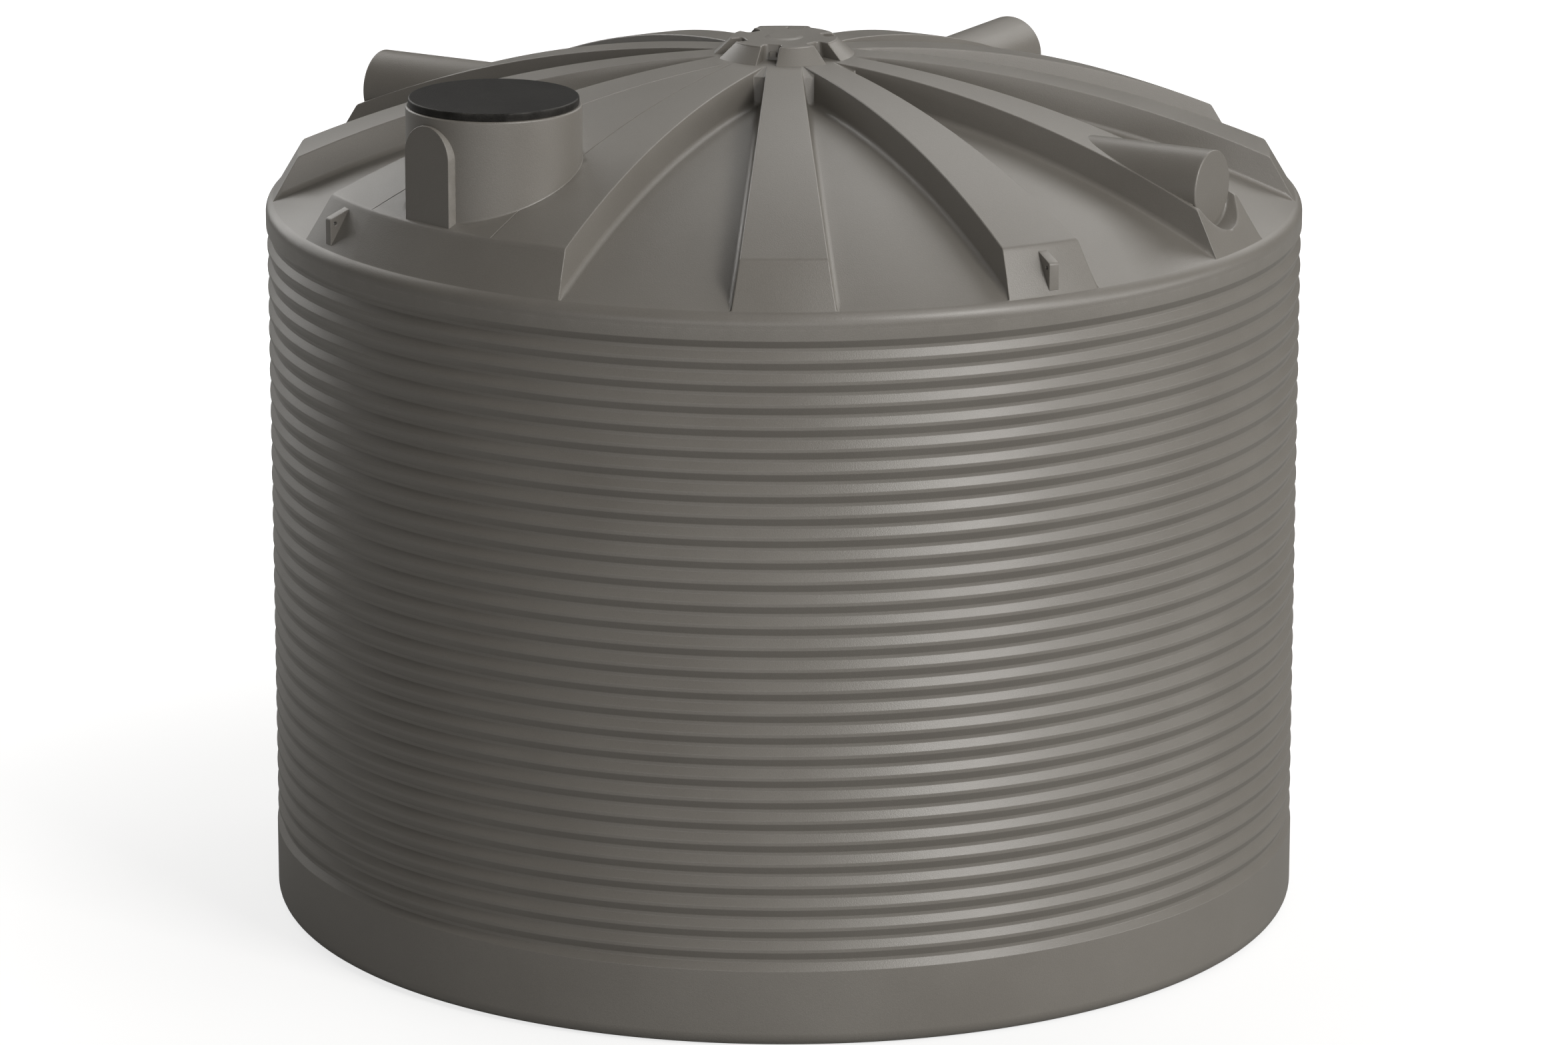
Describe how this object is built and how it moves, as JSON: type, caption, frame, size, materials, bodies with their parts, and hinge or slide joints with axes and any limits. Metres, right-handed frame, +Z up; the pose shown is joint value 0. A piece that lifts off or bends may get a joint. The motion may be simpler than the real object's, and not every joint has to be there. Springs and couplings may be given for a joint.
{
  "type": "water tank",
  "caption": "Round moulded water tank with a corrugated wall, a ribbed dome roof, a manhole with a lift-off lid, pipe bosses and lifting lugs.",
  "frame": {"origin": "on the ground, on the tank's axis, at the middle of its base", "axes": "+Z up along the tank's axis; -Y is the side that faces the viewer in the picture, with the manhole to its left at 45 degrees"},
  "size_m": [3.506, 3.506, 2.9886],
  "materials": {
    "tank_plastic": "warm grey moulded polyethylene, dull",
    "lid_plastic": "black grained plastic, matt"
  },
  "bodies": {
    "tank": {"fitting_pad": "tank_plastic", "floor": "tank_plastic", "lifting_lug_1": "tank_plastic", "lifting_lug_2": "tank_plastic", "lifting_lug_3": "tank_plastic", "lifting_lug_4": "tank_plastic", "manhole_neck": "tank_plastic", "manhole_platform": "tank_plastic", "pipe_boss_1": "tank_plastic", "pipe_boss_2": "tank_plastic", "pipe_boss_3": "tank_plastic", "roof_crown": "tank_plastic", "roof_hub": "tank_plastic", "roof_panel_01": "tank_plastic", "roof_panel_02": "tank_plastic", "roof_panel_03": "tank_plastic", "roof_panel_04": "tank_plastic", "roof_panel_05": "tank_plastic", "roof_panel_06": "tank_plastic", "roof_panel_07": "tank_plastic", "roof_panel_08": "tank_plastic", "roof_panel_09": "tank_plastic", "roof_panel_10": "tank_plastic", "roof_panel_11": "tank_plastic", "roof_rib_01": "tank_plastic", "roof_rib_02": "tank_plastic", "roof_rib_03": "tank_plastic", "roof_rib_04": "tank_plastic", "roof_rib_05": "tank_plastic", "roof_rib_06": "tank_plastic", "roof_rib_07": "tank_plastic", "roof_rib_08": "tank_plastic", "roof_rib_09": "tank_plastic", "roof_rib_10": "tank_plastic", "wall_segment_1": "tank_plastic", "wall_segment_2": "tank_plastic", "wall_segment_3": "tank_plastic", "wall_segment_4": "tank_plastic", "wall_segment_5": "tank_plastic", "wall_segment_6": "tank_plastic", "wall_segment_7": "tank_plastic", "wall_segment_8": "tank_plastic"},
    "lid": {"manhole_lid": "lid_plastic"}
  },
  "joints": [
    {"name": "lid_lift", "type": "slide", "parent": "tank", "child": "lid", "axis": [0, 0, 1], "range_m": [0, 0.4]}
  ]
}
